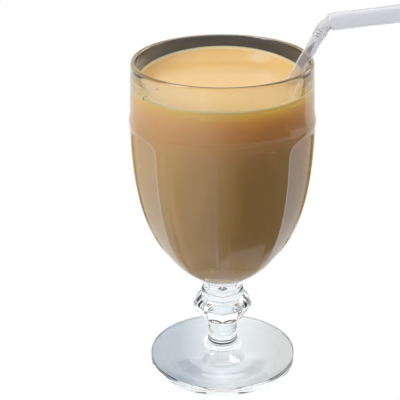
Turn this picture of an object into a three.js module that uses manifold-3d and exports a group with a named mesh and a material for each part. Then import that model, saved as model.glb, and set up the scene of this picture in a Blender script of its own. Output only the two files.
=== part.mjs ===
// A glass of horchata: a pressed footed goblet, the drink in it and a bendy straw.
// Units are millimetres, +Z is up, and the origin is the centre of the foot's flat underside.
// The front of the glass faces -Y. Azimuths run from the front towards +X.
import * as THREE from 'three';
import { mergeVertices } from 'three/addons/utils/BufferGeometryUtils.js';
import Module from 'manifold-3d';

const DEG = Math.PI / 180;

// Whole glass
const GLASS_HEIGHT = 158.2;
const RIM_RADIUS = 42;
const LIP_INNER_RADIUS = 40;

// Foot and stem
const FOOT_RADIUS = 36.2;
const FOOT_EDGE_HEIGHT = 4.6;
const FOOT_BEVEL = 0.8;
const FOOT_CONE_RADIUS = 11;
const FOOT_CONE_HEIGHT = 8.9;
const WAIST_RADIUS = 7.05;
const WAIST_HEIGHT = 21.5;
const KNOP_BOTTOM = 24.6;
const KNOP_BOTTOM_RADIUS = 9.9;
const KNOP_RADIUS = 14.5;
const KNOP_GIRDLE_LOW = 32.2;
const KNOP_GIRDLE_HIGH = 33.2;
const KNOP_TOP = 37.1;
const KNOP_TOP_RADIUS = 11.3;
const COLLAR_BOTTOM = 37.4;
const COLLAR_RADIUS = 10.95;
const COLLAR_TOP_RADIUS = 9.5;
const COLLAR_RINGS = 3;
const COLLAR_GROOVE = 0.3;
const COLLAR_TAPER = 0.15;
const NECK_RADIUS = 8.8;
const NECK_TOP = 46;

// Bowl outside: an egg shaped curve from the base of the bowl up to the bead under the plain band
const BOWL_RADIUS = 43.07;
const BOWL_BASE = 44.9;
const BOWL_LOW_ROW = 47.7;
const BOWL_HIGH_ROW = 117;
const BOWL_FULL = 140;
const BOWL_POWER = 3.018;
const BOWL_ROUND = 1.8;
const BEAD_RADIUS = 43.65;
const BEAD_HEIGHT = 130;
const BEAD_SWELL = 0.12;
const BAND_FOOT_RADIUS = 43;
const BAND_FOOT_HEIGHT = 133.5;
const LIP_ROUND = 1.3;

// Nine flat panels pressed between upright ribs, with round shouldered tops
const PANELS = 9;
const FIRST_RIB = 0.2;
const RIB_HALF_ANGLE = 3.4;
const PANEL_BEVEL_ANGLE = 1.8;
const RIB_STANDS_OUT = 0.35;
const PANEL_STEP = 0.7;
const PANEL_TOP = 128.6;
const PANEL_SHOULDER = 2.4;
const ARCH_DROP = 4;
const ARCH_POWER = 4;
const PANEL_FADE_FROM = 74;
const PANEL_FADE_TO = 52;

// Bowl inside
const HOLLOW_RADIUS = 38.6;
const HOLLOW_BASE = 54;
const HOLLOW_LOW_ROW = 56.4;
const HOLLOW_HIGH_ROW = 151;
const HOLLOW_FULL = 139;

// Drink
const DRINK_LEVEL = 146.5;
const CONTACT_GAP = 0.35;

// Straw: a narrow tube, a ringed elbow and a wider mouth tube
const STRAW_RADIUS = 2.75;
const STRAW_WALL = 0.4;
const MOUTH_RADIUS = 4.1;
const STRAW_AZIMUTH = -6.5;
const STRAW_LEAN = 27.6;
const MOUTH_RISE = 8.8;
const STRAW_AT_LIP = 36.4;
const LIP_LEVEL = 157.3;
const STRAW_END_HEIGHT = 60.6;
const ELBOW_HEIGHT = 176.9;
const ELBOW_RADIUS = 7;
const MOUTH_LENGTH = 48;
const RING_COUNT = 6;
const RING_PITCH = 1.4;
const RING_HEIGHT = 0.35;
const RINGS_PAST_ELBOW = 0.6;
const MOUTH_STEP = 0.8;
const STRAW_SIDES = 12;

// Steps of the curves
const FOOT_STEPS = 5;
const BOWL_STEPS = 10;
const LIP_STEPS = 4;
const HOLLOW_STEPS = 11;
const ROW_CROWDING = 1.6;
const BORE_STEPS = 4;

const smooth = (from, to, value) => THREE.MathUtils.smoothstep(value, from, to);
const lerp = THREE.MathUtils.lerp;

// Columns of one rib and panel, as angles from the rib's middle
const PANEL_ANGLE = 360 / PANELS;
const PANEL_EDGE = RIB_HALF_ANGLE + PANEL_BEVEL_ANGLE;
const PERIOD_COLUMNS = [
  0,
  RIB_HALF_ANGLE,
  PANEL_EDGE,
  PANEL_ANGLE / 2,
  PANEL_ANGLE - PANEL_EDGE,
  PANEL_ANGLE - RIB_HALF_ANGLE,
];
const COLUMNS = PANELS * PERIOD_COLUMNS.length;
const SAME_ANGLE = 0.01;

/** Azimuth in degrees of a column: the ribs' edges get columns of their own. */
function columnAzimuth(column) {
  const panel = Math.floor(column / PERIOD_COLUMNS.length);
  return FIRST_RIB + panel * PANEL_ANGLE + PERIOD_COLUMNS[column % PERIOD_COLUMNS.length];
}

/** Radius of an egg shaped bowl at a height: full at the top, closing to nothing at its base. */
function eggRadius(height, radius, base, full) {
  const down = THREE.MathUtils.clamp((full - height) / (full - base), 0, 1);
  return radius * (1 - down ** BOWL_POWER) ** (1 / BOWL_ROUND);
}

const ribRadius = (height) => eggRadius(height, BOWL_RADIUS, BOWL_BASE, BOWL_FULL) + RIB_STANDS_OUT;

function hollowRadius(height) {
  const flare = (LIP_INNER_RADIUS - HOLLOW_RADIUS) * smooth(HOLLOW_FULL, GLASS_HEIGHT, height);
  return eggRadius(height, HOLLOW_RADIUS, HOLLOW_BASE, HOLLOW_FULL) + flare;
}

/** Radius of a flat face between two corners, at an angle from the face's middle. */
function flatRadius(cornerRadius, halfAngle, angle) {
  return (cornerRadius * Math.cos(halfAngle * DEG)) / Math.cos(angle * DEG);
}

/**
 * A row of the goblet's outline is { r, z, flat, panel, arch }: flat is how much of the nine sided form it
 * takes, panel how deep the panels are pressed there, and arch how much of the arch drop its height takes.
 */
const row = (r, z, extra = {}) => ({ r, z, flat: 0, panel: 0, arch: 0, ...extra });

/** The foot: flat below, a bevelled edge, and a low cone that sweeps up to the waist as (1 - root)^2. */
function footRows() {
  const edge = FOOT_RADIUS - FOOT_BEVEL;
  const sweep = [];
  for (let step = 0; step <= FOOT_STEPS; step++) {
    const root = 1 - step / FOOT_STEPS;
    const rise = (WAIST_HEIGHT - FOOT_CONE_HEIGHT) * (1 - root) ** 2;
    sweep.push(row(lerp(WAIST_RADIUS, FOOT_CONE_RADIUS, root ** 2), FOOT_CONE_HEIGHT + rise));
  }
  return [
    row(0, 0),
    row(edge, 0),
    row(FOOT_RADIUS, FOOT_BEVEL),
    row(FOOT_RADIUS, FOOT_EDGE_HEIGHT - FOOT_BEVEL),
    row(edge, FOOT_EDGE_HEIGHT),
    ...sweep,
  ];
}

/** The nine sided knop over the waist, and the stepped collar rings between it and the bowl. */
function stemRows() {
  const ringHeight = (NECK_TOP - COLLAR_BOTTOM) / COLLAR_RINGS;
  const collar = [];
  for (let ring = 0; ring < COLLAR_RINGS; ring++) {
    const low = COLLAR_BOTTOM + ring * ringHeight + COLLAR_GROOVE;
    const high = COLLAR_BOTTOM + (ring + 1) * ringHeight - COLLAR_GROOVE;
    const radius = lerp(COLLAR_RADIUS, COLLAR_TOP_RADIUS, ring / (COLLAR_RINGS - 1));
    collar.push(row(radius, low, { flat: 1 }), row(radius - COLLAR_TAPER, high, { flat: 1 }));
  }
  return [
    row(KNOP_BOTTOM_RADIUS, KNOP_BOTTOM, { flat: 0.3 }),
    row(KNOP_RADIUS, KNOP_GIRDLE_LOW, { flat: 1 }),
    row(KNOP_RADIUS, KNOP_GIRDLE_HIGH, { flat: 1 }),
    row(KNOP_TOP_RADIUS, KNOP_TOP, { flat: 1 }),
    ...collar,
    row(NECK_RADIUS, NECK_TOP),
  ];
}

/** Heights from low to high, closer together near the low end, where the bowl curves most. */
function crowdedHeights(low, high, steps) {
  return Array.from({ length: steps + 1 }, (_, step) => lerp(low, high, (step / steps) ** ROW_CROWDING));
}

function bowlRows() {
  const body = crowdedHeights(BOWL_LOW_ROW, BOWL_HIGH_ROW, BOWL_STEPS).map((z) => {
    const panel = smooth(PANEL_FADE_TO, PANEL_FADE_FROM, z);
    return row(ribRadius(z) - RIB_STANDS_OUT * (1 - panel), z, { panel });
  });
  const shoulder = PANEL_TOP - PANEL_SHOULDER;
  const lipFoot = GLASS_HEIGHT - LIP_ROUND;
  return [
    ...body,
    row(ribRadius(shoulder), shoulder, { panel: 1, arch: 1 }),
    row(BEAD_RADIUS - BEAD_SWELL, PANEL_TOP, { arch: 1 }),
    row(BEAD_RADIUS, BEAD_HEIGHT),
    row((BEAD_RADIUS + BAND_FOOT_RADIUS) / 2, (BEAD_HEIGHT + BAND_FOOT_HEIGHT) / 2),
    row(BAND_FOOT_RADIUS, BAND_FOOT_HEIGHT),
    row((BAND_FOOT_RADIUS + RIM_RADIUS) / 2, (BAND_FOOT_HEIGHT + lipFoot) / 2),
  ];
}

/** The lip: half an ellipse from the outside over to the inside. */
function lipRows() {
  const middle = (RIM_RADIUS + LIP_INNER_RADIUS) / 2;
  const half = (RIM_RADIUS - LIP_INNER_RADIUS) / 2;
  return Array.from({ length: LIP_STEPS + 1 }, (_, step) => {
    const over = (Math.PI * step) / LIP_STEPS;
    return row(middle + half * Math.cos(over), GLASS_HEIGHT - LIP_ROUND * (1 - Math.sin(over)));
  });
}

const HOLLOW_HEIGHTS = crowdedHeights(HOLLOW_LOW_ROW, HOLLOW_HIGH_ROW, HOLLOW_STEPS);

function hollowRows() {
  return [...HOLLOW_HEIGHTS.map((z) => row(hollowRadius(z), z)).reverse(), row(0, HOLLOW_BASE)];
}

/** Moves one point of the round outline in to the flats and panels that the mould presses. */
function pressed(place, azimuth) {
  const fromRib = THREE.MathUtils.euclideanModulo(azimuth - FIRST_RIB, PANEL_ANGLE);
  const fromMiddle = Math.abs(fromRib - PANEL_ANGLE / 2);
  const panelHalf = PANEL_ANGLE / 2 - RIB_HALF_ANGLE;
  const arch = Math.min(fromMiddle / panelHalf, 1) ** ARCH_POWER;
  let radius = lerp(place.r, flatRadius(place.r, PANEL_ANGLE / 2, fromMiddle), place.flat);
  if (place.panel > 0 && fromMiddle < panelHalf - SAME_ANGLE) {
    const face = flatRadius(radius - PANEL_STEP, PANEL_ANGLE / 2 - PANEL_EDGE, fromMiddle);
    radius = lerp(radius, face, place.panel);
  }
  return { radius, height: place.z - ARCH_DROP * arch * place.arch };
}

/** A lathe turned piece with its own columns, its outline pressed column by column. */
function turned(rows) {
  const outline = rows.map(({ r, z }) => new THREE.Vector2(r, z));
  const geometry = new THREE.LatheGeometry(outline, COLUMNS);
  const position = geometry.attributes.position;
  for (let column = 0; column <= COLUMNS; column++) {
    const azimuth = columnAzimuth(column % COLUMNS);
    rows.forEach((place, index) => {
      const { radius, height } = pressed(place, azimuth);
      const angle = azimuth * DEG;
      position.setXYZ(column * rows.length + index, radius * Math.sin(angle), height, radius * Math.cos(angle));
    });
  }
  return closed(geometry.rotateX(Math.PI / 2));
}

/** Joins shared vertices, and drops the slivers that a pole leaves. */
function closed(geometry) {
  geometry.deleteAttribute('normal');
  geometry.deleteAttribute('uv');
  const merged = mergeVertices(geometry, 1e-4);
  const corners = Array.from(merged.index.array);
  const kept = [];
  for (let i = 0; i < corners.length; i += 3) {
    const [a, b, c] = corners.slice(i, i + 3);
    if (a !== b && b !== c && c !== a) kept.push(a, b, c);
  }
  merged.setIndex(kept);
  return merged;
}

/** The straw's length below the elbow, along its axis. */
const lowerLength = (ELBOW_HEIGHT - STRAW_END_HEIGHT) / Math.cos(STRAW_LEAN * DEG);
const bendAngle = (90 - STRAW_LEAN - MOUTH_RISE) * DEG;
const bendTangent = ELBOW_RADIUS * Math.tan(bendAngle / 2);
const bendStart = lowerLength - bendTangent;
const bendLength = ELBOW_RADIUS * bendAngle;

/** Where a length along the straw lies in the plane it bends in: u outwards and w along the narrow tube. */
function strawAxis(length) {
  if (length <= bendStart) return { u: 0, w: length, turn: 0 };
  const turn = Math.min((length - bendStart) / ELBOW_RADIUS, bendAngle);
  const beyond = Math.max(length - bendStart - bendLength, 0);
  return {
    u: ELBOW_RADIUS * (1 - Math.cos(turn)) + beyond * Math.sin(turn),
    w: bendStart + ELBOW_RADIUS * Math.sin(turn) + beyond * Math.cos(turn),
    turn,
  };
}

/** The straight straw's wall as a closed outline of radius and length. */
function strawOutline() {
  const ringsEnd = lowerLength + RINGS_PAST_ELBOW;
  const ringsStart = ringsEnd - RING_COUNT * RING_PITCH;
  const end = ringsEnd + MOUTH_LENGTH;
  const points = [[STRAW_RADIUS, 0], [STRAW_RADIUS, lowerLength / 2]];
  for (let ring = 0; ring < RING_COUNT; ring++) {
    const start = ringsStart + ring * RING_PITCH;
    points.push([STRAW_RADIUS, start], [STRAW_RADIUS + RING_HEIGHT, start + RING_PITCH / 2]);
  }
  const bore = STRAW_RADIUS - STRAW_WALL;
  const mouthBore = MOUTH_RADIUS - STRAW_WALL;
  points.push([STRAW_RADIUS, ringsEnd], [MOUTH_RADIUS, ringsEnd + MOUTH_STEP], [MOUTH_RADIUS, end]);
  points.push([mouthBore, end], [mouthBore, ringsEnd + MOUTH_STEP + STRAW_WALL]);
  for (let step = BORE_STEPS; step >= 0; step--) {
    points.push([bore, lerp(ringsStart, ringsEnd, step / BORE_STEPS)]);
  }
  points.push([bore, 0], points[0]);
  return points.map(([radius, length]) => new THREE.Vector2(radius, length));
}

/** Turns a point of the bending plane into the part's frame. */
function strawFrame() {
  const lean = STRAW_LEAN * DEG;
  const azimuth = STRAW_AZIMUTH * DEG;
  const outward = new THREE.Vector3(Math.cos(azimuth), Math.sin(azimuth), 0);
  const along = outward.clone().multiplyScalar(Math.sin(lean)).add(new THREE.Vector3(0, 0, Math.cos(lean)));
  const across = outward.clone().multiplyScalar(Math.cos(lean)).sub(new THREE.Vector3(0, 0, Math.sin(lean)));
  const side = new THREE.Vector3().crossVectors(across, along);
  const endReach = STRAW_AT_LIP - (LIP_LEVEL - STRAW_END_HEIGHT) * Math.tan(lean);
  const end = outward.clone().multiplyScalar(endReach).setZ(STRAW_END_HEIGHT);
  return new THREE.Matrix4().makeBasis(across, along, side).setPosition(end);
}

function strawGeometry() {
  const geometry = new THREE.LatheGeometry(strawOutline(), STRAW_SIDES);
  const position = geometry.attributes.position;
  for (let i = 0; i < position.count; i++) {
    const across = position.getX(i);
    const { u, w, turn } = strawAxis(position.getY(i));
    position.setX(i, u + across * Math.cos(turn));
    position.setY(i, w - across * Math.sin(turn));
  }
  return closed(geometry.applyMatrix4(strawFrame()));
}

/** A straight rod round the sunk end of the straw, which cuts its hole in the drink. */
function strawHoleGeometry() {
  const radius = (STRAW_RADIUS + CONTACT_GAP) / Math.cos(Math.PI / STRAW_SIDES);
  const rod = new THREE.CylinderGeometry(radius, radius, lowerLength, STRAW_SIDES);
  rod.translate(0, lowerLength / 2 - CONTACT_GAP, 0);
  return closed(rod.applyMatrix4(strawFrame()));
}

/** A place on the hollow's wall, moved off it by the gap, square to the wall. */
function offTheWall(height) {
  const slope = hollowRadius(height + 0.5) - hollowRadius(height - 0.5);
  const share = CONTACT_GAP / Math.hypot(1, slope);
  return row(hollowRadius(height) - share, height + share * slope);
}

/** The drink: the hollow's own shape, a little smaller, up to the level. */
function drinkGeometry() {
  const wall = HOLLOW_HEIGHTS.filter((z) => z < DRINK_LEVEL).map(offTheWall);
  const edge = row(hollowRadius(DRINK_LEVEL) - CONTACT_GAP, DRINK_LEVEL);
  return turned([row(0, HOLLOW_BASE + 2 * CONTACT_GAP), ...wall, edge, row(0, DRINK_LEVEL)]);
}

const wasm = await Module();
wasm.setup();

function toSolid(geometry) {
  const vertProperties = new Float32Array(geometry.attributes.position.array);
  const triVerts = new Uint32Array(geometry.index.array);
  return new wasm.Manifold(new wasm.Mesh({ numProp: 3, vertProperties, triVerts }));
}

function toGeometry(solid) {
  const mesh = solid.getMesh();
  const geometry = new THREE.BufferGeometry();
  geometry.setAttribute('position', new THREE.BufferAttribute(new Float32Array(mesh.vertProperties), 3));
  geometry.setIndex(new THREE.BufferAttribute(new Uint32Array(mesh.triVerts), 1));
  return geometry;
}

function named(name, geometry, material) {
  const mesh = new THREE.Mesh(geometry, material);
  mesh.name = name;
  return mesh;
}

const pressedGlass = new THREE.MeshStandardMaterial({
  color: 0xdde3e2, roughness: 0.05, metalness: 0, transparent: true, opacity: 0.35,
});
const milkyDrink = new THREE.MeshStandardMaterial({ color: 0xe9bf82, roughness: 0.3, metalness: 0 });
const clearPlastic = new THREE.MeshStandardMaterial({
  color: 0xeceef2, roughness: 0.25, metalness: 0, transparent: true, opacity: 0.6,
});

const goblet = turned([...footRows(), ...stemRows(), ...bowlRows(), ...lipRows(), ...hollowRows()]);
const drink = toGeometry(toSolid(drinkGeometry()).subtract(toSolid(strawHoleGeometry())));

const glassOfHorchata = new THREE.Group();
glassOfHorchata.add(named('goblet', goblet, pressedGlass));
glassOfHorchata.add(named('horchata', drink, milkyDrink));
glassOfHorchata.add(named('straw', strawGeometry(), clearPlastic));

export default glassOfHorchata;
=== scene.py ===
import bpy
import numpy as np
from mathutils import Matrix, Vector


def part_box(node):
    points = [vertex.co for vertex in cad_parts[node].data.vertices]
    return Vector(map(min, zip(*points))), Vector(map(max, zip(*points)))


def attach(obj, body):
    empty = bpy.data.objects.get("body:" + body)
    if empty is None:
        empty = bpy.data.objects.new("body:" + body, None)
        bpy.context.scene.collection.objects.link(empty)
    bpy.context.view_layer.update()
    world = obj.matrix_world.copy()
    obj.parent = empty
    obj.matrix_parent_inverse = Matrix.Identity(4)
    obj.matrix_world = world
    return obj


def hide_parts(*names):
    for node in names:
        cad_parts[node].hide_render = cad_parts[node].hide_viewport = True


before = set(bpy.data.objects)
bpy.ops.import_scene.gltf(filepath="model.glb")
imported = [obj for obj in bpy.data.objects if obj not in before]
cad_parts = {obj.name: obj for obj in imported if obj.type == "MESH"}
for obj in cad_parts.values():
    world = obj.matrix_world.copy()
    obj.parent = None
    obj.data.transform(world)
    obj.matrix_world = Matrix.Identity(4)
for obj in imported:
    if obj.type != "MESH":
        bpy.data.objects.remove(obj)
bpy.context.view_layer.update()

# The camera: a 105 mm lens 0.6 m from the glass, looking down on it by 24 degrees. The object stands a
# little right of the picture's middle, so the lens is shifted sideways by that share of the picture.
MM = 0.001
CAMERA_BACK = 513.98
CAMERA_HEIGHT = 316.24
CAMERA_PITCH = 23.97
PICTURE_WIDTH = 400
GLASS_RIGHT_OF_MIDDLE = 22.5
camera_data = bpy.data.cameras.new("camera")
camera_data.lens = 105.2
camera_data.sensor_width = 36.0
camera_data.shift_x = -GLASS_RIGHT_OF_MIDDLE / PICTURE_WIDTH
camera = bpy.data.objects.new("camera", camera_data)
camera.location = (0.0, -CAMERA_BACK * MM, CAMERA_HEIGHT * MM)
camera.rotation_euler = (np.radians(90 - CAMERA_PITCH), 0.0, 0.0)
bpy.context.scene.collection.objects.link(camera)
bpy.context.scene.camera = camera
bpy.context.scene.view_settings.view_transform = "Standard"


# The studio floor: a sheet of white acrylic that glows a little from below. It is bluish white in the
# glass, and burns out to plain white where the camera sees it directly.
def linear(hex_colour, alpha=1.0):
    """An sRGB hex colour as linear red, green, blue and alpha."""
    parts = [int(hex_colour[i:i + 2], 16) / 255 for i in (0, 2, 4)]
    return [c / 12.92 if c <= 0.04045 else ((c + 0.055) / 1.055) ** 2.4 for c in parts] + [alpha]


def add_node(material, kind, links=None, **settings):
    """Adds a shader node to a material. Settings name its sockets or its own values, with spaces as
    underscores, and links gives the output that feeds each named socket."""
    node = material.node_tree.nodes.new(kind)
    for name, value in settings.items():
        if hasattr(node, name):
            setattr(node, name, value)
        else:
            node.inputs[name.replace("_", " ")].default_value = value
    for name, output in (links or {}).items():
        material.node_tree.links.new(output, node.inputs[name])
    return node


def new_material(name):
    """An empty node material, with its output node."""
    material = bpy.data.materials.new(name)
    material.use_nodes = True
    material.node_tree.nodes.clear()
    return material, add_node(material, "ShaderNodeOutputMaterial")


def sheet_plate(name, corner, along, up, material):
    """A flat stage plate from its corner and two edges."""
    corner, along, up = (np.array(v) for v in (corner, along, up))
    mesh = bpy.data.meshes.new(name)
    mesh.from_pydata([corner, corner + along, corner + along + up, corner + up], [], [(0, 1, 2, 3)])
    mesh.materials.append(material)
    plate = bpy.data.objects.new(name, mesh)
    bpy.context.scene.collection.objects.link(plate)
    return plate


TABLE_GLOW = 0.74
white_acrylic, output = new_material("white_acrylic")
seen = add_node(white_acrylic, "ShaderNodeLightPath")
acrylic = add_node(white_acrylic, "ShaderNodeBsdfPrincipled", Base_Color=linear("8A8E92"), Roughness=0.9,
                   Emission_Color=linear("F0F3F5"), Emission_Strength=TABLE_GLOW)
burnt_out = add_node(white_acrylic, "ShaderNodeEmission", Color=linear("FFFFFF"), Strength=1.0)
either = add_node(white_acrylic, "ShaderNodeMixShader", {"Fac": seen.outputs["Is Camera Ray"]})
white_acrylic.node_tree.links.new(acrylic.outputs[0], either.inputs[1])
white_acrylic.node_tree.links.new(burnt_out.outputs[0], either.inputs[2])
white_acrylic.node_tree.links.new(either.outputs[0], output.inputs["Surface"])
FLOOR_DROP = 0.2 * MM
floor = sheet_plate("floor", (-3, -3, -FLOOR_DROP), (6, 0, 0), (0, 6, 0), white_acrylic)


# The light: a dim room, a large soft light above, and tall soft lights at the left, the right and the right
# back. They are plain white and show only as light and in reflections. Azimuths run from the front to +X.
# Glass shows a brighter room, ROOM_IN_GLASS, than the one that lights the drink.
AIM_HEIGHT = 0.10


def soft_light(name, azimuth, elevation, distance, width, height, power):
    """A rectangular soft light that faces the glass from an azimuth and elevation in degrees."""
    data = bpy.data.lights.new(name, "AREA")
    data.shape = "RECTANGLE"
    data.size, data.size_y, data.energy = width, height, power
    turn, rise = np.radians(azimuth), np.radians(elevation)
    away = Vector((np.sin(turn) * np.cos(rise), -np.cos(turn) * np.cos(rise), np.sin(rise)))
    light = bpy.data.objects.new(name, data)
    light.location = away * distance + Vector((0, 0, AIM_HEIGHT))
    light.rotation_euler = away.to_track_quat("Z", "Y").to_euler()
    light.visible_camera = False
    bpy.context.scene.collection.objects.link(light)
    return light


soft_light("light_above", azimuth=180, elevation=84, distance=0.85, width=1.0, height=0.9, power=4.0)
soft_light("light_left", azimuth=-64, elevation=42, distance=0.75, width=0.30, height=0.55, power=3.7)
soft_light("light_right", azimuth=92, elevation=18, distance=0.75, width=0.18, height=0.50, power=0.4)
soft_light("light_back_right", azimuth=125, elevation=25, distance=0.75, width=0.30, height=0.50, power=1.2)
ROOM_LIGHT = 0.08
ROOM_IN_GLASS = 0.5

world = bpy.data.worlds.new("studio")
bpy.context.scene.world = world
world.use_nodes = True
room = world.node_tree.nodes["Background"]
seen = add_node(world, "ShaderNodeLightPath")
straight = add_node(world, "ShaderNodeMath", {0: seen.outputs["Diffuse Depth"]}, operation="LESS_THAN")
straight.inputs[1].default_value = 0.5
mirrored = add_node(world, "ShaderNodeMix", {"Factor": straight.outputs[0]}, data_type="RGBA")
mirrored.inputs["A"].default_value = (ROOM_LIGHT, ROOM_LIGHT, ROOM_LIGHT, 1)
mirrored.inputs["B"].default_value = (ROOM_IN_GLASS, ROOM_IN_GLASS, ROOM_IN_GLASS, 1)
shade = add_node(world, "ShaderNodeMix", {"Factor": seen.outputs["Is Camera Ray"]}, data_type="RGBA")
world.node_tree.links.new(mirrored.outputs["Result"], shade.inputs["A"])
shade.inputs["B"].default_value = linear("FFFFFF")
world.node_tree.links.new(shade.outputs["Result"], room.inputs["Color"])

# A white wall stands behind the table, out of the picture. Dark cards, as a photographer sets them to give
# clear glass its dark edges, stand behind the rim and lie on the table in front, where two edges fade out,
# and to the right. A card under the foot glows with painted shade and light: bluish grey at its left end, the
# foot's painted shadow, white in the middle and warm grey at its right end. The camera doesn't see the cards
# directly, and they cast no shadow. The table's dark card fades out by its bearing, which is x over y seen
# from the glass, and by its distance in front.
WALL_GLOW = 0.5
FEATHER_BEARING = (0.45, -0.4)
FEATHER_FRONT = (-0.04, -0.062)
FOOT_CARD_HALF = 0.04
FOOT_CARD_ENDS = (-0.036, 0.036)
FOOT_CARD_PAINTED_SHADE = ((0.2, "98A3AE"), (0.5, "E0E5E9"), (0.9, "C3C1BF"))


def matt_surface(material, output, colour, roughness, links=None, **settings):
    """Gives a stage material its matt surface."""
    surface = add_node(material, "ShaderNodeBsdfPrincipled", links, Base_Color=linear(colour),
                       Roughness=roughness, **settings)
    material.node_tree.links.new(surface.outputs[0], output.inputs["Surface"])


def shaded(material, share, stops):
    """A colour that changes along a share from 0 to 1 through stops, each a place and a hex colour."""
    ramp = add_node(material, "ShaderNodeValToRGB", {"Fac": share})
    for element, (position, colour) in zip(ramp.color_ramp.elements, (stops[0], stops[-1])):
        element.position, element.color = position, linear(colour)
    for position, colour in stops[1:-1]:
        ramp.color_ramp.elements.new(position).color = linear(colour)
    return ramp.outputs["Color"]


white_wall, output = new_material("white_wall")
matt_surface(white_wall, output, "F4F4F4", 0.9, Emission_Color=linear("FFFFFF"), Emission_Strength=WALL_GLOW)
sheet_plate("wall", (-2, 1.1, -FLOOR_DROP), (4, 0, 0), (0, 0, 1.2), white_wall)

black_card, output = new_material("black_card")
matt_surface(black_card, output, "34363A", 0.8)
rim_flag = sheet_plate("rim_flag", (-0.058, 0.075, 0.108), (0.1065, 0, 0), (0, 0, 0.0366), black_card)
rim_flag.visible_diffuse = False

feathered_card, output = new_material("feathered_black_card")
place = add_node(feathered_card, "ShaderNodeTexCoord").outputs["Object"]
apart = add_node(feathered_card, "ShaderNodeSeparateXYZ", {"Vector": place})
bearing = add_node(feathered_card, "ShaderNodeMath", {0: apart.outputs["X"], 1: apart.outputs["Y"]},
                   operation="DIVIDE")
cover = add_node(feathered_card, "ShaderNodeMapRange", {"Value": bearing.outputs[0]},
                 From_Min=FEATHER_BEARING[0], From_Max=FEATHER_BEARING[1])
near = add_node(feathered_card, "ShaderNodeMapRange", {"Value": apart.outputs["Y"]},
                From_Min=FEATHER_FRONT[0], From_Max=FEATHER_FRONT[1])
both = add_node(feathered_card, "ShaderNodeMath", {0: cover.outputs["Result"], 1: near.outputs["Result"]},
                operation="MULTIPLY")
matt_surface(feathered_card, output, "201E1E", 0.8, {"Alpha": both.outputs[0]})
floor_flag = sheet_plate("floor_flag", (-0.8, -1.5, FLOOR_DROP / 2), (2.0, 0, 0), (0, 1.45, 0),
                         feathered_card)

grey_card, output = new_material("grey_card")
matt_surface(grey_card, output, "6E6A62", 0.9, Emission_Color=linear("FFF4E4"), Emission_Strength=0.07)
side_flag = sheet_plate("side_flag", (0.06, -0.3564, FLOOR_DROP * 0.8), (0.5, 0.3125, 0), (0, 0.35, 0),
                        grey_card)

# Painted shade: the card under the foot glows bluish grey at its left end, white in the middle and warm grey
# at its right end.
foot_shade_card, output = new_material("foot_card_painted_shade")
place = add_node(foot_shade_card, "ShaderNodeTexCoord").outputs["Object"]
apart = add_node(foot_shade_card, "ShaderNodeSeparateXYZ", {"Vector": place})
across = add_node(foot_shade_card, "ShaderNodeMapRange", {"Value": apart.outputs["X"]},
                  From_Min=FOOT_CARD_ENDS[0], From_Max=FOOT_CARD_ENDS[1])
painted_shade = shaded(foot_shade_card, across.outputs["Result"], FOOT_CARD_PAINTED_SHADE)
matt_surface(foot_shade_card, output, "8A8E92", 0.9, {"Emission Color": painted_shade}, Emission_Strength=1.0)
foot_card = sheet_plate("foot_card", (-FOOT_CARD_HALF, -FOOT_CARD_HALF, -FLOOR_DROP / 2),
                        (2 * FOOT_CARD_HALF, 0, 0), (0, 2 * FOOT_CARD_HALF, 0), foot_shade_card)

for flag in (rim_flag, floor_flag, side_flag, foot_card):
    flag.visible_camera = False
    flag.visible_shadow = False

# The goblet: clear soda-lime glass, pressed in one piece in an iron mould and fire polished. The foot and
# stem are turned forms, the knop and its collar have nine facets, and nine flat panels stand between the
# bowl's ribs.
goblet_low, goblet_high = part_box("goblet")
GLASS_HEIGHT = goblet_high.z / MM
RIM_RADIUS = 42.0
LIP_INNER_RADIUS = 40.0
LIP_ROUND = 1.3
FOOT_RADIUS = 36.2
FOOT_EDGE = 4.6
CONE_RADIUS = 11.0
CONE_TOP = 8.9
WAIST_RADIUS = 7.0
WAIST_HEIGHT = 17.9
KNOP_FACETS = (24.6, 28.0)
KNOP_RADIUS = 14.7
COLLAR_END = 45.9
NECK_TOP = 46.4
BOWL_RADIUS = 43.07
BOWL_BASE = 44.9
BOWL_FULL = 140.0
BOWL_POWER = 3.018
BOWL_ROUND = 1.8
BOWL_TOP = 127.0
RIB_STANDS_OUT = 0.35
BEAD_RADIUS = -goblet_low.y / MM
BEAD_HEIGHT = 130.0
BAND_FOOT = (43.0, 133.5)
HOLLOW_RADIUS = 38.6
HOLLOW_BASE = 54.0
HOLLOW_FULL = 139.0
HOLLOW_ROUND = 6.0
PANELS = 9
PANEL_ANGLE = 360 / PANELS
FIRST_RIB = 0.2
PANEL_HALF = 16.6
PANEL_FLAT_HALF = 14.8
PANEL_EDGE = (PANEL_FLAT_HALF - 0.4, PANEL_HALF + 0.6)
PANEL_STEP = 0.95
PANEL_TOP = 128.6
PANEL_SHOULDER = 2.0
ARCH_DROP = 4.0
ARCH_POWER = 4
PANEL_FADE = (52.0, 74.0)
GOBLET_ROWS = 312
LONGEST_ROW = 2.4
FINE_STEP = 0.05
TURN_WINDOW = 9
TURN_WEIGHT = 3
ARCH_ROWS = 1.1
ARCH_ROWS_REACH = 5
ARCH_ROWS_FROM = 41.5
PANEL_COLUMNS = 34
EDGE_CLOSENESS = 2.2
EDGE_SPREAD = 1.8
RIPPLE_WIDTH = 9.0


def smooth(low, high, value):
    """0 below low, 1 above high, and 3t^2 - 2t^3 between them."""
    t = np.clip((value - low) / (high - low), 0, 1)
    return t * t * (3 - 2 * t)


def egg_radius(height, radius, base, full):
    """An egg shaped bowl: radius times (1 - d^BOWL_POWER)^(1 / BOWL_ROUND), where d goes from 0 at the full
    height to 1 at the base."""
    down = np.clip((full - height) / (full - base), 0, 1)
    return radius * (1 - down ** BOWL_POWER) ** (1 / BOWL_ROUND)


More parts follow.
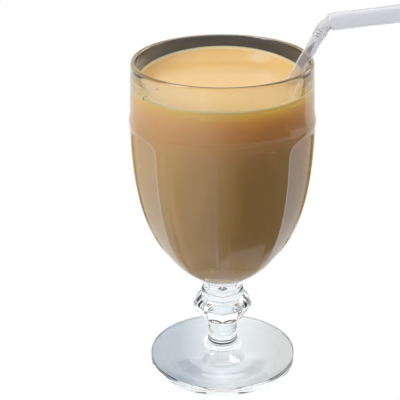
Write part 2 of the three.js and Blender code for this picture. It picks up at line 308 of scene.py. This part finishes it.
def hollow_radius(height):
    """The inside of the bowl: the same egg form, flaring a little to the lip."""
    flare = (LIP_INNER_RADIUS - HOLLOW_RADIUS) * smooth(HOLLOW_FULL, GLASS_HEIGHT, height)
    return egg_radius(height, HOLLOW_RADIUS, HOLLOW_BASE, HOLLOW_FULL) + flare


def rounded(corners, steps=8):
    """A line through corners (radius, height, cut): each corner is cut back by its own reach along both
    sides, and bridged by the curve (1-t)^2 A + 2t(1-t) C + t^2 B."""
    corners = np.array(corners, float)
    place, cut = corners[:, :2], corners[:, 2:]
    before, after = np.roll(place, 1, 0), np.roll(place, -1, 0)
    before[0], after[-1] = place[0], place[-1]
    back, on = before - place, after - place
    back /= np.maximum(np.linalg.norm(back, axis=1, keepdims=True), 1e-9)
    on /= np.maximum(np.linalg.norm(on, axis=1, keepdims=True), 1e-9)
    t = np.linspace(0, 1, steps)[None, :, None]
    bridge = ((1 - t) ** 2 * (place + cut * back)[:, None] + 2 * t * (1 - t) * place[:, None]
              + t ** 2 * (place + cut * on)[:, None])
    return bridge.reshape(-1, 2)


def arch_rows(line):
    """The extra closeness of rows on the outside of the bowl, where the panels' arched tops lie."""
    return ARCH_ROWS * (np.abs(line[:, 1] - BOWL_TOP) < ARCH_ROWS_REACH) * (line[:, 0] > ARCH_ROWS_FROM)


def respaced(line, rows):
    """The same line with its points spread anew: even along the line, plus closer where it turns and
    where the arches lie."""
    step = np.linalg.norm(np.diff(line, axis=0), axis=1)
    line = line[np.r_[True, step > 1e-6]]
    step = step[step > 1e-6]
    fine_at = np.arange(0, step.sum(), FINE_STEP)
    length = np.r_[0, np.cumsum(step)]
    fine = np.stack([np.interp(fine_at, length, line[:, i]) for i in (0, 1)], 1)
    heading = np.unwrap(np.arctan2(*np.gradient(fine, axis=0).T[::-1]))
    turning = np.abs(np.gradient(heading))
    spread = np.convolve(turning, np.ones(TURN_WINDOW) / TURN_WINDOW, "same")
    density = np.cumsum(FINE_STEP / LONGEST_ROW + spread * TURN_WEIGHT + arch_rows(fine) * FINE_STEP)
    at = np.interp(np.linspace(density[0], density[-1], rows), density, fine_at)
    return np.stack([np.interp(at, fine_at, fine[:, i]) for i in (0, 1)], 1)


# Foot: a flat underside with a shallow hollow, a round edge, and a low cone on top. From its inner end the
# outline sweeps up to the waist as (1 - u)^2 while the radius shrinks as u^2.
u = np.linspace(1, 0, 30)
foot_sweep = np.stack([WAIST_RADIUS + (CONE_RADIUS - WAIST_RADIUS) * u ** 2,
                       CONE_TOP + (WAIST_HEIGHT - CONE_TOP) * (1 - u) ** 2], 1)
foot_cone = np.linspace((FOOT_RADIUS - 1.0, FOOT_EDGE), foot_sweep[0], 8, endpoint=False)
foot = rounded([(0, 0.35, 0), (27, 0.35, 3), (30, 0, 2), (FOOT_RADIUS, 0, 1),
                (FOOT_RADIUS, FOOT_EDGE - 0.1, 1.8)])
# Stem: a small ring over the waist, the knop's lower cone, its girdle and upper cone, and then the collar of
# three rings, each with a groove above it, up to the neck.
stem = rounded([
    (WAIST_RADIUS, WAIST_HEIGHT, 0.1), (7.45, 18.2, 0.25), (7.15, 20.5, 1.5), (7.3, 23.9, 0.4),
    (10.4, 24.9, 0.9), (KNOP_RADIUS, 32.0, 1.0), (KNOP_RADIUS, 33.4, 0.9), (11.3, 37.1, 0.4),
    (10.75, 37.3, 0.12), (11.05, 37.7, 0.25), (11.0, 39.5, 0.3),
    (10.3, 39.85, 0.12), (10.55, 40.2, 0.25), (10.4, 42.1, 0.3),
    (9.45, 42.5, 0.12), (9.65, 42.9, 0.25), (9.5, 45.4, 0.35), (8.75, 46.0, 0.15),
])
heights = np.linspace(NECK_TOP + 0.3, BOWL_TOP, 240)
bowl_rib = egg_radius(heights, BOWL_RADIUS, BOWL_BASE, BOWL_FULL)
bowl_rib += RIB_STANDS_OUT * smooth(PANEL_FADE[0], PANEL_FADE[1], heights)
bowl = np.stack([bowl_rib, heights], 1)
band = rounded([(BEAD_RADIUS - 0.05, BEAD_HEIGHT - 0.8, 0.5), (BEAD_RADIUS, BEAD_HEIGHT + 0.6, 0.7),
                (BAND_FOOT[0], BAND_FOOT[1], 1.6), (RIM_RADIUS, GLASS_HEIGHT - LIP_ROUND - 0.3, 0.2)])
over = np.linspace(0, np.pi, 16)
lip = np.stack([(RIM_RADIUS + LIP_INNER_RADIUS) / 2 + (RIM_RADIUS - LIP_INNER_RADIUS) / 2 * np.cos(over),
                GLASS_HEIGHT - LIP_ROUND * (1 - np.sin(over))], 1)
inside_heights = np.r_[np.linspace(GLASS_HEIGHT - LIP_ROUND - 0.4, HOLLOW_BASE + HOLLOW_ROUND, 160),
                       HOLLOW_BASE + HOLLOW_ROUND * np.linspace(0.97, 0, 40) ** 2]
inside = np.stack([hollow_radius(inside_heights), inside_heights], 1)
outline = np.vstack([foot, foot_cone, foot_sweep, stem, bowl, band, lip, inside])
outline = respaced(outline, GOBLET_ROWS)

# Columns stand closer where a flat panel turns to its rib, by a bell curve round that edge.
across = np.linspace(0, 1, 400)
from_edge = np.abs(across - 0.5) * PANEL_ANGLE - (PANEL_FLAT_HALF + PANEL_HALF) / 2
closeness = np.cumsum(1 + EDGE_CLOSENESS * np.exp(-(from_edge / EDGE_SPREAD) ** 2))
closeness = (closeness - closeness[0]) / (closeness[-1] - closeness[0])
one_panel = np.interp(np.arange(PANEL_COLUMNS) / PANEL_COLUMNS, closeness, across) * PANEL_ANGLE
azimuth = (FIRST_RIB + np.arange(PANELS)[:, None] * PANEL_ANGLE + one_panel[None]).ravel()


def skin(name, points, material, ring=False):
    """A closed mesh from rows of points. Each row runs once round the piece and closes on itself. The first
    and last rows shrink to one point each, or meet each other where the rows make a ring."""
    rows, columns = points.shape[:2]
    body = np.arange(rows * columns).reshape(rows, columns)
    if not ring:
        body = body[1:-1] - columns + 1
    lower = body if ring else body[:-1]
    upper = np.roll(body, -1, 0) if ring else body[1:]
    sides = np.stack([lower, np.roll(lower, -1, 1), np.roll(upper, -1, 1), upper], -1).reshape(-1, 4)
    vertices, caps = points.reshape(-1, 3), []
    if not ring:
        first, last = body[0], body[-1]
        vertices = np.vstack([points[0, :1], points[1:-1].reshape(-1, 3), points[-1, :1]])
        start, end = np.zeros(columns, int), np.full(columns, len(vertices) - 1)
        caps = np.vstack([np.stack([start, np.roll(first, -1), first], -1),
                          np.stack([end, last, np.roll(last, -1)], -1)]).tolist()
    mesh = bpy.data.meshes.new(name)
    mesh.from_pydata(vertices.tolist(), [], sides.tolist() + caps)
    mesh.shade_smooth()
    mesh.materials.append(material)
    piece = bpy.data.objects.new(name, mesh)
    bpy.context.scene.collection.objects.link(piece)
    return piece


def pressed(outline, azimuth):
    """Turns the outline round the axis and presses it. Between ribs the radius goes in to a flat face, by
    cos(half) / cos(angle from its middle). The panel's top edge drops as the fourth power of that angle.
    The knop and collar take the nine sided form in the same way."""
    radius, height = outline[:, :1], outline[:, 1:]
    outer = (np.arange(len(outline)) < np.argmax(outline[:, 1]))[:, None]
    from_middle = np.abs(np.mod(azimuth - FIRST_RIB, PANEL_ANGLE) - PANEL_ANGLE / 2)[None]
    facet = np.cos(np.radians(PANEL_ANGLE / 2)) / np.cos(np.radians(from_middle))
    knop = smooth(KNOP_FACETS[0], KNOP_FACETS[1], height) * (1 - smooth(COLLAR_END, NECK_TOP, height)) * outer
    radius = radius * (1 + (facet - 1) * knop)
    arch = height + ARCH_DROP * np.clip(from_middle / PANEL_HALF, 0, 1) ** ARCH_POWER
    panel = smooth(PANEL_FADE[0], PANEL_FADE[1], height)
    panel = panel * (1 - smooth(PANEL_TOP - PANEL_SHOULDER, PANEL_TOP, arch))
    panel = panel * (1 - smooth(PANEL_EDGE[0], PANEL_EDGE[1], from_middle)) * outer
    flat = (radius - PANEL_STEP) * np.cos(np.radians(PANEL_FLAT_HALF)) / np.cos(np.radians(from_middle))
    radius = radius + (flat - radius) * panel
    turn = np.radians(azimuth)[None]
    return np.stack([radius * np.sin(turn), -radius * np.cos(turn), height + 0 * turn], -1)


def pressed_glass_material():
    """Fire polished soda-lime glass: very smooth, with the faint orange peel of a pressed surface."""
    material, output = new_material("pressed_soda_lime_glass")
    place = add_node(material, "ShaderNodeTexCoord").outputs["Object"]
    ripple = add_node(material, "ShaderNodeTexNoise", {"Vector": place},
                      Scale=1 / (RIPPLE_WIDTH * MM), Detail=2.0)
    bump = add_node(material, "ShaderNodeBump", {"Height": ripple.outputs["Fac"]},
                    Strength=0.5, Distance=0.05 * MM)
    glass = add_node(material, "ShaderNodeBsdfPrincipled", {"Normal": bump.outputs["Normal"]},
                     Base_Color=linear("FBFDFD"), Roughness=0.0, IOR=1.52, Transmission_Weight=1.0)
    material.node_tree.links.new(glass.outputs[0], output.inputs["Surface"])
    return material


goblet = skin("goblet_glass", pressed(outline, azimuth) * MM, pressed_glass_material())
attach(goblet, "root")
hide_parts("goblet")

# The drink: a smooth milky rice drink, opaque and tan. It wets the glass, so it ends just inside the
# wall. Its surface climbs the wall by a small curve, and at the back a coat of it still clings to the
# glass, where it ran down after the glass was carried. FADE is in shares of a spot's size, and BELOW in
# millimetres under the level.
drink_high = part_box("horchata")[1]
DRINK_LEVEL = drink_high.z / MM
INTO_WALL = 0.15
FRONT_CLIMB = 0.8
BACK_CLIMB = 6.6
FRONT_REACH = 1.6
BACK_REACH = 19.0
COAT_NARROWS = 1.8
DEEP_PATH = 21.0
COAT_PATH = 3.5
COAT_PATH_BELOW = (2.2, 0.5)
SURFACE_BELOW = (0.9, 0.4)
# Painted highlight: a paler patch on the coat at the back, where a light's reflection falls.
HIGHLIGHT_PATCH_MIDDLE = (20.0, 32.0, DRINK_LEVEL + 2)
HIGHLIGHT_PATCH_SIZE = (9.5, 6.0, 6.0)
HIGHLIGHT_PATCH_FADE = (0.4, 1.1)
FLECKS = ((-29.9, -11.8, DRINK_LEVEL - 0.2), (-33.2, -20.0, DRINK_LEVEL))
FLECK_SIZE = (0.7, 1.1, 1.1)
FLECK_FADE = (0.7, 1.0)
EDGE_ROUND = 0.14
# Painted highlight: the drink is paler in a thin line where it meets the glass, at and above the level.
MENISCUS_HIGHLIGHT_FROM = (38.2, 38.9)
MENISCUS_HIGHLIGHT_SHARE = 0.5
CLOUD_WIDTH = 14.0
DRINK_COLUMNS = 240
SURFACE_ROWS = 70
WALL_ROWS = 60
WALL_ROWS_CROWD = 1.7
# Painted light: the drink's colour goes paler towards its top, standing in for the light that glows in under
# its surface.
DRINK_PAINTED_GLOW = ((0.2, "D8AE6A"), (0.68, "E3BC72"), (0.92, "F1C681"))
SURFACE_TAN = "E4BC76"
HIGHLIGHT_PATCH_COLOUR = "E6C898"
MENISCUS_HIGHLIGHT = "F6E2BE"
CINNAMON = "6B4426"

drink_azimuth = np.linspace(0, 360, DRINK_COLUMNS, endpoint=False)
to_back = ((1 - np.cos(np.radians(drink_azimuth))) / 2) ** COAT_NARROWS
climb = FRONT_CLIMB + (BACK_CLIMB - FRONT_CLIMB) * to_back
reach = FRONT_REACH + (BACK_REACH - FRONT_REACH) * to_back
level = DRINK_LEVEL - FRONT_CLIMB / 2

wall_share = np.linspace(0, 1, WALL_ROWS)[:, None] ** WALL_ROWS_CROWD
wall_height = HOLLOW_BASE - INTO_WALL + wall_share * (level + climb - HOLLOW_BASE + INTO_WALL)
wall_radius = np.where(wall_share > 0, hollow_radius(wall_height + INTO_WALL) + INTO_WALL, 0)
inward = np.linspace(0, 1, SURFACE_ROWS)[1:, None] ** 2
surface_radius = wall_radius[-1] * (1 - inward)
toward_wall = np.clip(1 - (wall_radius[-1] - surface_radius) / reach, 0, 1)
parabola, arc = toward_wall ** 2, 1 - np.sqrt(1 - toward_wall ** 2)
surface_height = level + climb * ((1 - EDGE_ROUND) * parabola + EDGE_ROUND * arc)
drink_radius = np.vstack([wall_radius, surface_radius])
drink_height = np.vstack([wall_height, surface_height])
turn = np.radians(drink_azimuth)[None]
drink_points = np.stack([drink_radius * np.sin(turn), -drink_radius * np.cos(turn), drink_height], -1)


def laid_over(material, share, first, second):
    """The second colour, a hex, laid over the first colour, an output, by a share from 0 to 1."""
    mix = add_node(material, "ShaderNodeMix", {"Factor": share}, data_type="RGBA")
    material.node_tree.links.new(first, mix.inputs["A"])
    mix.inputs["B"].default_value = linear(second)
    return mix.outputs["Result"]


def blotch(material, place, middle, size, fade):
    """A soft edged oval: 1 inside it and 0 outside. It is the distance from its middle, in shares of its
    half width, depth and height, mapped from the fade's start to its end."""
    offset = add_node(material, "ShaderNodeVectorMath", {0: place}, operation="SUBTRACT")
    offset.inputs[1].default_value = np.array(middle) * MM
    shares = add_node(material, "ShaderNodeVectorMath", {0: offset.outputs[0]}, operation="MULTIPLY")
    shares.inputs[1].default_value = 1 / (np.array(size) * MM)
    far = add_node(material, "ShaderNodeVectorMath", {0: shares.outputs[0]}, operation="LENGTH")
    return add_node(material, "ShaderNodeMapRange", {"Value": far.outputs["Value"]},
                    interpolation_type="SMOOTHSTEP",
                    From_Min=fade[0], From_Max=fade[1], To_Min=1.0, To_Max=0.0).outputs["Result"]


def milky_drink_material():
    """Rice and milk drink with cinnamon. Light goes about two centimetres into it, and less where it is only
    a coat on the glass. It is painted paler towards the top, for the light that glows in under its surface,
    with a painted highlight where it meets the glass and a painted highlight patch at the back, and two
    flecks of cinnamon at the left."""
    material, output = new_material("milky_rice_drink")
    place = add_node(material, "ShaderNodeTexCoord").outputs["Object"]
    cloud = add_node(material, "ShaderNodeTexNoise", {"Vector": place},
                     Scale=1 / (CLOUD_WIDTH * MM), Detail=3.0)
    height = add_node(material, "ShaderNodeSeparateXYZ", {"Vector": place})
    at_level = add_node(material, "ShaderNodeMapRange", {"Value": height.outputs["Z"]},
                        From_Min=(DRINK_LEVEL - SURFACE_BELOW[0]) * MM,
                        From_Max=(DRINK_LEVEL - SURFACE_BELOW[1]) * MM)
    rise = add_node(material, "ShaderNodeMapRange", {"Value": height.outputs["Z"]},
                    From_Min=HOLLOW_BASE * MM, From_Max=DRINK_LEVEL * MM)
    # Painted light: paler towards the top of the drink.
    painted_glow = shaded(material, rise.outputs["Result"], DRINK_PAINTED_GLOW)
    top = laid_over(material, at_level.outputs["Result"], painted_glow, SURFACE_TAN)
    clouded = add_node(material, "ShaderNodeHueSaturation", {"Color": top}, Value=1.04)
    tone = add_node(material, "ShaderNodeMix", {"Factor": cloud.outputs["Fac"]}, data_type="RGBA")
    material.node_tree.links.new(top, tone.inputs["A"])
    material.node_tree.links.new(clouded.outputs[0], tone.inputs["B"])
    # Painted highlight: the pale patch at the back.
    highlight_patch = blotch(material, place, HIGHLIGHT_PATCH_MIDDLE, HIGHLIGHT_PATCH_SIZE, HIGHLIGHT_PATCH_FADE)
    colour = laid_over(material, highlight_patch, tone.outputs["Result"], HIGHLIGHT_PATCH_COLOUR)
    # Painted highlight: paler where the drink meets the glass, at and above the level.
    level_place = add_node(material, "ShaderNodeVectorMath", {0: place}, operation="MULTIPLY")
    level_place.inputs[1].default_value = (1, 1, 0)
    from_axis = add_node(material, "ShaderNodeVectorMath", {0: level_place.outputs[0]}, operation="LENGTH")
    by_wall = add_node(material, "ShaderNodeMapRange", {"Value": from_axis.outputs["Value"]},
                       From_Min=MENISCUS_HIGHLIGHT_FROM[0] * MM, From_Max=MENISCUS_HIGHLIGHT_FROM[1] * MM,
                       To_Max=MENISCUS_HIGHLIGHT_SHARE)
    edge = add_node(material, "ShaderNodeMath", {0: by_wall.outputs["Result"], 1: at_level.outputs["Result"]},
                    operation="MULTIPLY")
    colour = laid_over(material, edge.outputs[0], colour, MENISCUS_HIGHLIGHT)
    for fleck_place in FLECKS:
        fleck = blotch(material, place, fleck_place, FLECK_SIZE, FLECK_FADE)
        colour = laid_over(material, fleck, colour, CINNAMON)
    depth = add_node(material, "ShaderNodeMapRange", {"Value": height.outputs["Z"]},
                     From_Min=(DRINK_LEVEL - COAT_PATH_BELOW[0]) * MM,
                     From_Max=(DRINK_LEVEL - COAT_PATH_BELOW[1]) * MM,
                     To_Min=DEEP_PATH * MM, To_Max=COAT_PATH * MM)
    liquid = add_node(material, "ShaderNodeBsdfPrincipled",
                      {"Base Color": colour, "Subsurface Scale": depth.outputs["Result"]},
                      Roughness=0.16, IOR=1.35, Subsurface_Weight=1.0,
                      Subsurface_Radius=(1.0, 0.84, 0.42))
    material.node_tree.links.new(liquid.outputs[0], output.inputs["Surface"])
    return material


drink = skin("horchata_drink", drink_points * MM, milky_drink_material())
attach(drink, "root")
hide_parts("horchata")

# The straw: clear polypropylene tube, extruded thin, its elbow rolled into rings so that it bends, and a
# wider mouth tube above them. It leans on the inside of the lip and its end is sunk in the drink. The tube's
# outline is a list of (radius, length along the axis), up the outside and back down the inside.
STRAW_RADIUS = 2.75
STRAW_WALL = 0.4
MOUTH_RADIUS = 4.1
STRAW_AZIMUTH = np.radians(-6.5)
STRAW_LEAN = np.radians(27.6)
MOUTH_RISE = np.radians(8.8)
STRAW_AT_LIP = 36.4
LIP_LEVEL = 157.3
STRAW_END_HEIGHT = 60.6
ELBOW_HEIGHT = 176.9
ELBOW_RADIUS = 7.0
MOUTH_LENGTH = 48.0
RING_COUNT = 6
RING_PITCH = 1.4
RING_HEIGHT = 0.35
RINGS_PAST_ELBOW = 0.6
MOUTH_STEP = 0.8
STRAW_SIDES = 64
HAZE_WIDTH = 3.0
STRAW_ROUGHNESS = (0.06, 0.16)
STRAW_CLEARNESS = 0.86

lower_length = (ELBOW_HEIGHT - STRAW_END_HEIGHT) / np.cos(STRAW_LEAN)
bend_angle = np.pi / 2 - STRAW_LEAN - MOUTH_RISE
bend_start = lower_length - ELBOW_RADIUS * np.tan(bend_angle / 2)
rings_end = lower_length + RINGS_PAST_ELBOW
rings_start = rings_end - RING_COUNT * RING_PITCH
straw_end = rings_end + MOUTH_LENGTH

ring_at = np.arange(RING_COUNT)[:, None] * RING_PITCH + rings_start
ring_shape = np.array([(0.0, 0.0), (0.45, 0.9), (0.55, 1.0), (0.75, 0.7), (0.95, 0.05)])
rings = np.stack([STRAW_RADIUS + RING_HEIGHT * np.tile(ring_shape[:, 1], RING_COUNT),
                  (ring_at + ring_shape[:, 0] * RING_PITCH).ravel()], 1)
lower = np.stack([np.full(60, STRAW_RADIUS), np.linspace(0.3, rings_start - 0.5, 60)], 1)
# Between the rings and the mouth tube the wall widens by a short cone with a rounded shoulder.
cone = np.array([(STRAW_RADIUS, rings_end), (MOUTH_RADIUS - 0.4, rings_end + 0.45),
                 (MOUTH_RADIUS - 0.05, rings_end + MOUTH_STEP), (MOUTH_RADIUS, rings_end + MOUTH_STEP + 0.5)])
mouth = np.stack([np.full(20, MOUTH_RADIUS), np.linspace(rings_end + 2.5, straw_end - 0.1, 20)], 1)
outer_line = np.vstack([lower, rings, cone, mouth])
inner_line = outer_line[::-1] - [STRAW_WALL, 0]
straw_line = np.vstack([outer_line, [(MOUTH_RADIUS - STRAW_WALL / 2, straw_end)], inner_line,
                        [(STRAW_RADIUS - STRAW_WALL / 2, 0.0)]])


def bent(line, sides):
    """Carries the straw's outline round its axis, which runs straight, turns on an arc and runs straight
    again: along the arc by angle a, the axis moves out by R (1 - cos a) and on by R sin a."""
    radius, length = line[:, :1], line[:, 1:]
    turn = np.clip((length - bend_start) / ELBOW_RADIUS, 0, bend_angle)
    beyond = np.maximum(length - bend_start - ELBOW_RADIUS * bend_angle, 0)
    out = ELBOW_RADIUS * (1 - np.cos(turn)) + beyond * np.sin(turn)
    on = np.minimum(length, bend_start) + ELBOW_RADIUS * np.sin(turn) + beyond * np.cos(turn)
    around = np.linspace(0, 2 * np.pi, sides, endpoint=False)[None]
    width, side = radius * np.cos(around), -radius * np.sin(around)
    local = np.stack([out + width * np.cos(turn), on - width * np.sin(turn), side], -1)
    outward = np.array([np.cos(STRAW_AZIMUTH), np.sin(STRAW_AZIMUTH), 0])
    up = np.array([0, 0, 1.0])
    along = outward * np.sin(STRAW_LEAN) + up * np.cos(STRAW_LEAN)
    across = outward * np.cos(STRAW_LEAN) - up * np.sin(STRAW_LEAN)
    reach = STRAW_AT_LIP - (LIP_LEVEL - STRAW_END_HEIGHT) * np.tan(STRAW_LEAN)
    end = outward * reach + up * STRAW_END_HEIGHT
    return local @ np.array([across, along, np.cross(across, along)]) + end


def clear_plastic_material():
    """Unpigmented polypropylene: clear but a little cloudy."""
    material, output = new_material("clear_polypropylene")
    place = add_node(material, "ShaderNodeTexCoord").outputs["Object"]
    haze = add_node(material, "ShaderNodeTexNoise", {"Vector": place},
                    Scale=1 / (HAZE_WIDTH * MM), Detail=2.0)
    rough = add_node(material, "ShaderNodeMapRange", {"Value": haze.outputs["Fac"]},
                     To_Min=STRAW_ROUGHNESS[0], To_Max=STRAW_ROUGHNESS[1])
    plastic = add_node(material, "ShaderNodeBsdfPrincipled", {"Roughness": rough.outputs["Result"]},
                       Base_Color=linear("FBFAFD"), IOR=1.49, Transmission_Weight=STRAW_CLEARNESS)
    material.node_tree.links.new(plastic.outputs[0], output.inputs["Surface"])
    return material


straw = skin("bendy_straw", bent(straw_line, STRAW_SIDES) * MM, clear_plastic_material(), ring=True)
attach(straw, "root")
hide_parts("straw")
